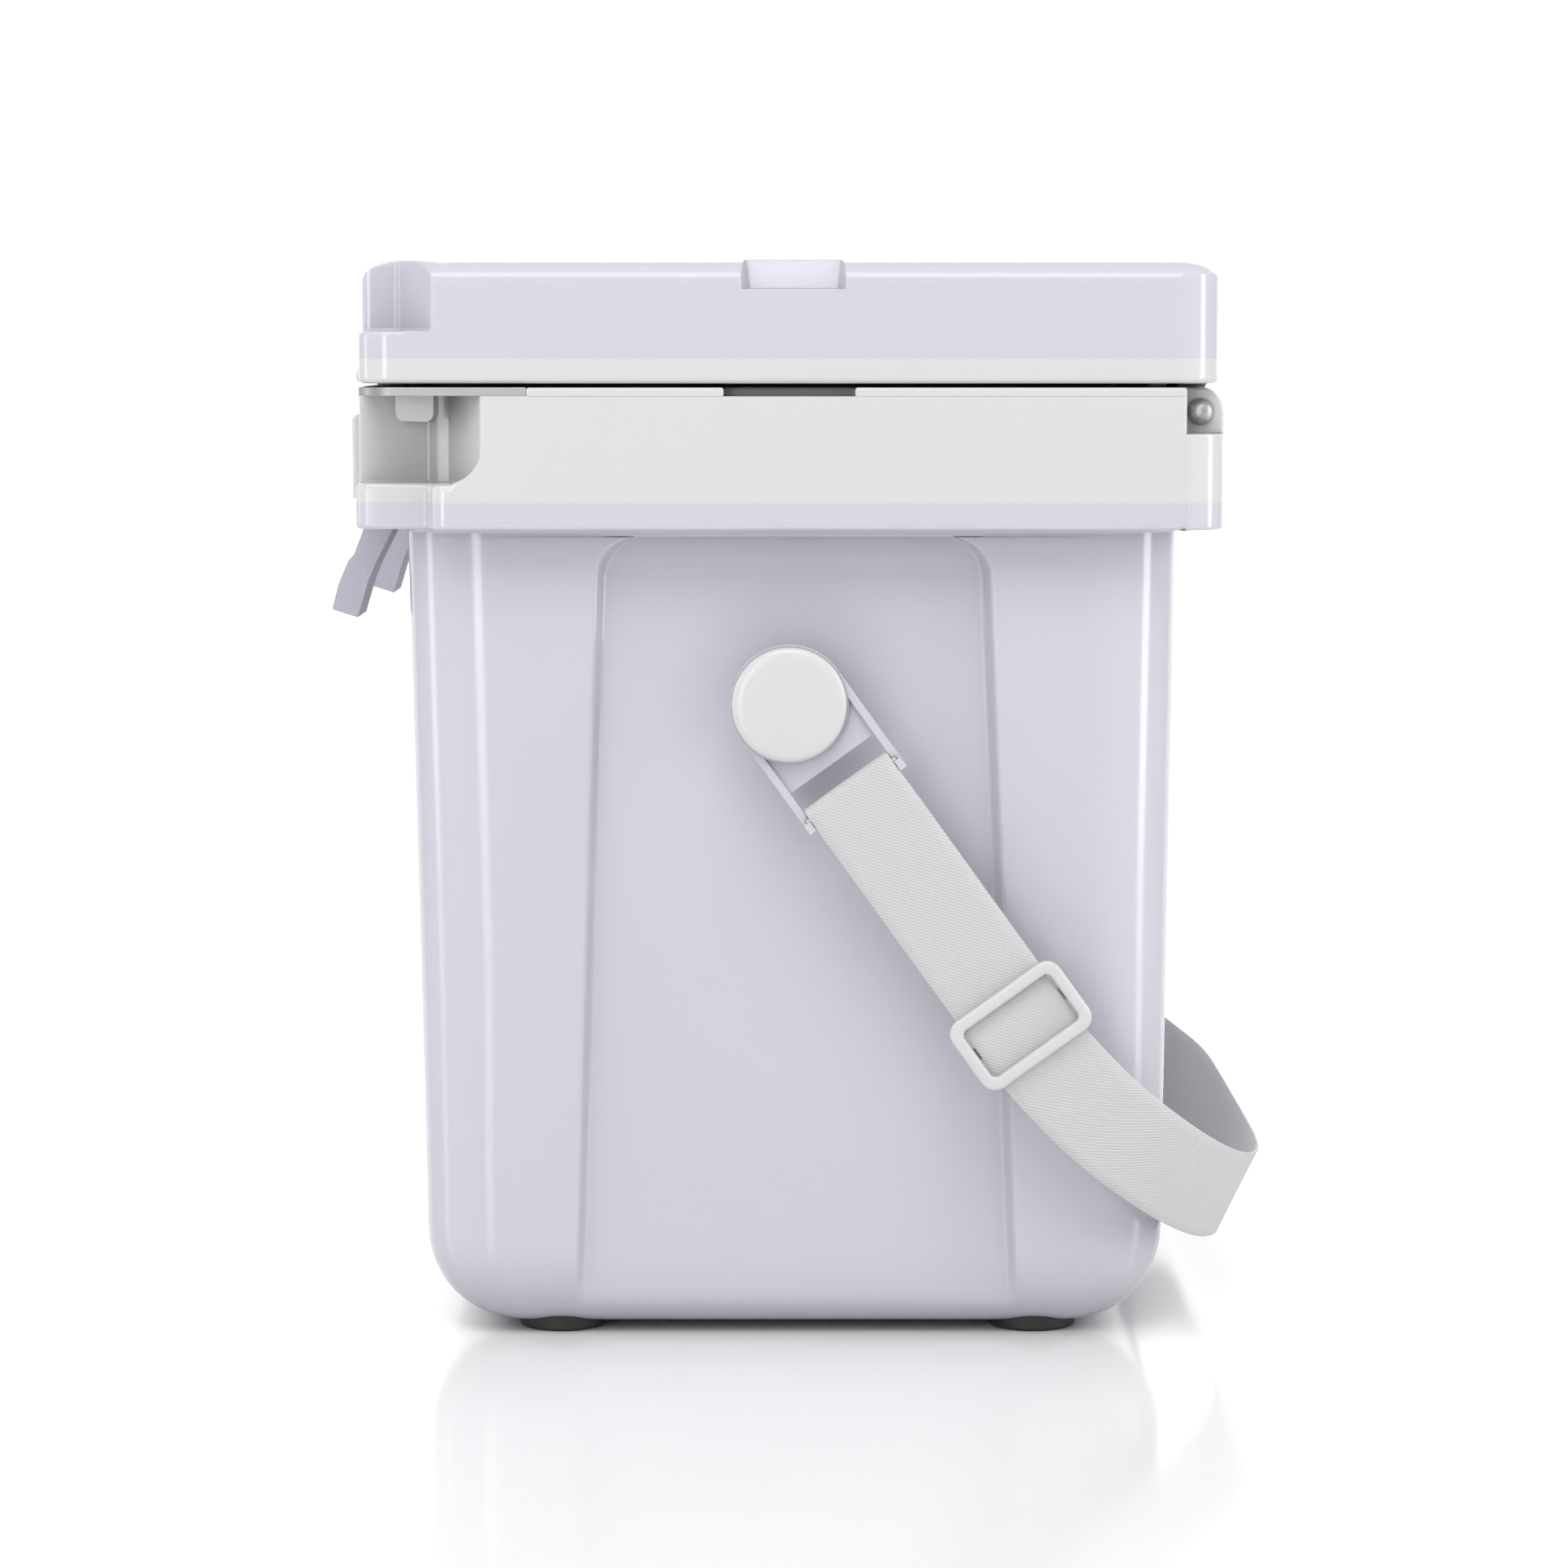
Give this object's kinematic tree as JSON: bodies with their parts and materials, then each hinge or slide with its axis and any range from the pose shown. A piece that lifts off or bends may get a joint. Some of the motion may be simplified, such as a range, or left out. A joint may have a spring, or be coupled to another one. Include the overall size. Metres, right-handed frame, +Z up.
{
  "type": "cooler chest",
  "caption": "Insulated cooler chest with a hinged lid, rubber T-latches, steel lock plates and a webbing carry strap that swings on side pivots.",
  "frame": {"origin": "on the floor under the middle of the rim's plan", "axes": "+X to the user's right, across the width; +Y from the latches to the hinge; +Z up"},
  "size_m": [0.4231, 0.3658, 0.4105],
  "materials": {
    "shell_plastic": "soft gloss moulded polyethylene, pale lavender",
    "liner_plastic": "soft gloss moulded polyethylene, white",
    "foam": "closed-cell polyurethane foam",
    "seal_rubber": "matte black",
    "latch_rubber": "satin greyed lavender",
    "plate_steel": "brushed",
    "steel": "bead-blasted satin",
    "brass": "turned brass",
    "webbing": "fine diagonal weave"
  },
  "bodies": {
    "chest": {"outer_body": "shell_plastic", "body_foam": "foam", "inner_liner": "liner_plastic", "lock_plate_left": "plate_steel", "lock_plate_right": "plate_steel", "lock_plate_screws": "steel", "hinge_pin_left": "steel", "hinge_pin_right": "steel", "pivot_boss_left": "shell_plastic", "pivot_boss_right": "shell_plastic", "pivot_washers": "liner_plastic", "pivot_cap_left": "liner_plastic", "pivot_cap_right": "liner_plastic", "pivot_bolts": "steel", "pivot_inserts": "brass", "foot_front_left": "seal_rubber", "foot_front_right": "seal_rubber", "foot_rear_left": "seal_rubber", "foot_rear_right": "seal_rubber", "foot_screws": "steel"},
    "lid": {"lid_top": "shell_plastic", "lid_foam": "foam", "lid_liner": "liner_plastic", "lid_gasket": "seal_rubber", "latch_pin_left": "steel", "latch_pin_right": "steel"},
    "latch_left_arm": {"latch_left": "latch_rubber"},
    "latch_right_arm": {"latch_right": "latch_rubber"},
    "strap": {"strap_bracket_left": "shell_plastic", "strap_bracket_right": "shell_plastic", "strap_bar_left": "steel", "strap_bar_right": "steel", "strap_webbing": "webbing"},
    "slider": {"strap_slider": "liner_plastic"}
  },
  "joints": [
    {"name": "lid_hinge", "type": "hinge", "parent": "chest", "child": "lid", "pos_m": [0, 0.1543, 0.3547], "axis": [-1, 0, 0], "range_deg": [0, 95]},
    {"name": "latch_left_swing", "type": "hinge", "parent": "lid", "child": "latch_left_arm", "pos_m": [-0.088, -0.1535, 0.388], "axis": [-1, 0, 0], "range_deg": [0, 95], "deforming": ["latch_left"]},
    {"name": "latch_right_swing", "type": "hinge", "parent": "lid", "child": "latch_right_arm", "pos_m": [0.088, -0.1535, 0.388], "axis": [-1, 0, 0], "range_deg": [0, 95], "deforming": ["latch_right"]},
    {"name": "strap_swing", "type": "hinge", "parent": "chest", "child": "strap", "pos_m": [0, 0, 0.246], "axis": [1, 0, 0], "range_deg": [-3, 280]},
    {"name": "slider_slide", "type": "slide", "parent": "strap", "child": "slider", "axis": [0, -0.585, 0.8111], "range_m": [0, 0.08]}
  ]
}
